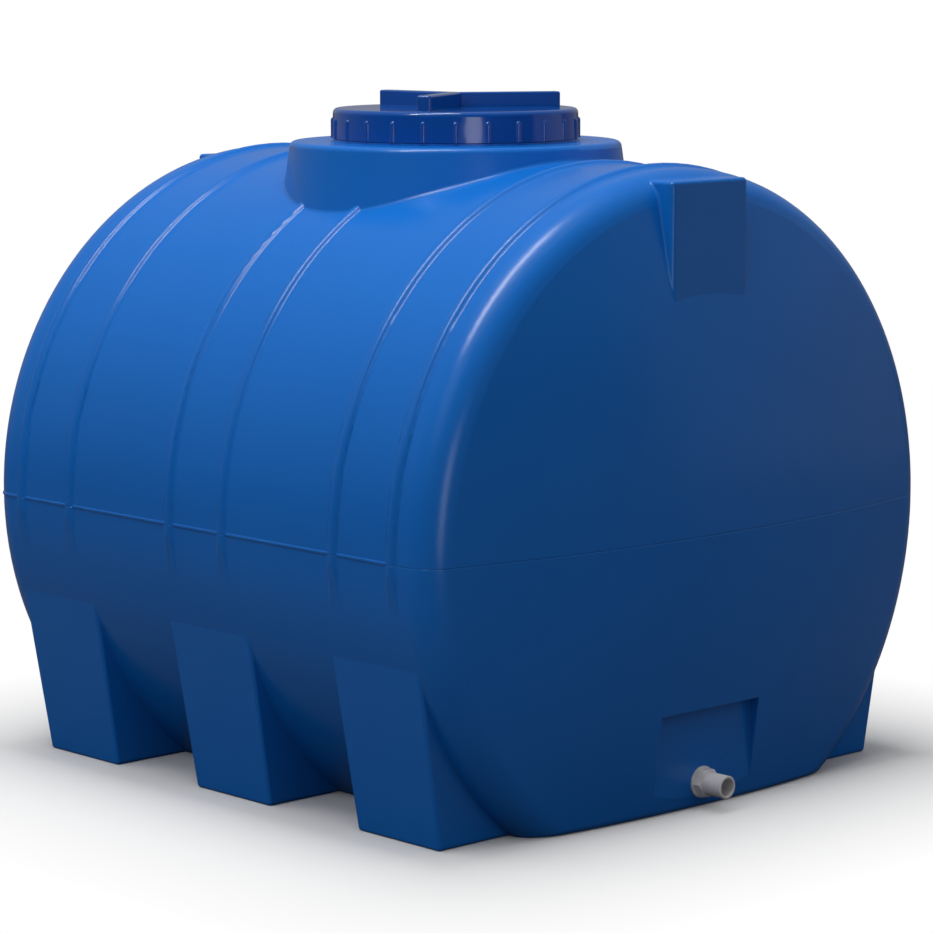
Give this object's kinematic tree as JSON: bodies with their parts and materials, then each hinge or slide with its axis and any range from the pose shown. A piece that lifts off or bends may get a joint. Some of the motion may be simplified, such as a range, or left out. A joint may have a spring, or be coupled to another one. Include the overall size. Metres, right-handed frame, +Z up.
{
  "type": "livestock water tank",
  "caption": "Horizontal moulded water tank on six feet, with a screw lid on a raised neck, rounded ribs, domed ends, an end recess and a bottom outlet spigot.",
  "frame": {"origin": "on the floor under the middle of the tank's barrel", "axes": "+Z up, the tank's length along Y, with the outlet end facing -Y"},
  "size_m": [1.0108, 1.0925, 0.9885],
  "materials": {
    "tank_plastic": "satin moulded polyethylene, mid blue",
    "ring_plastic": "satin moulded, blue",
    "lid_plastic": "glossy injection moulded, dark blue",
    "seal_rubber": "matt black rubber",
    "vent_plastic": "glossy injection moulded, dark blue",
    "screen_plastic": "fine black mesh",
    "outlet_plastic": "satin light grey moulded"
  },
  "bodies": {
    "tank": {"shell_upper": "tank_plastic", "shell_lower": "tank_plastic", "neck_ring": "ring_plastic", "outlet_body": "outlet_plastic", "outlet_gasket": "seal_rubber", "outlet_nut": "outlet_plastic"},
    "lid_seal": {"lid_gasket": "seal_rubber"},
    "lid": {"lid": "lid_plastic", "vent_body": "vent_plastic", "vent_screen": "screen_plastic", "vent_cap": "vent_plastic"}
  },
  "joints": [
    {"name": "lid_rise", "type": "slide", "parent": "tank", "child": "lid_seal", "axis": [0, 0, 1], "range_m": [0, 0.02]},
    {"name": "lid_turn", "type": "hinge", "parent": "lid_seal", "child": "lid", "pos_m": [0, 0, 0.944], "axis": [0, 0, 1], "range_deg": [0, 720]}
  ],
  "couplings": [
    {"joint": "lid_rise", "follows": "lid_turn", "m_per_rad": 0.0015915}
  ]
}
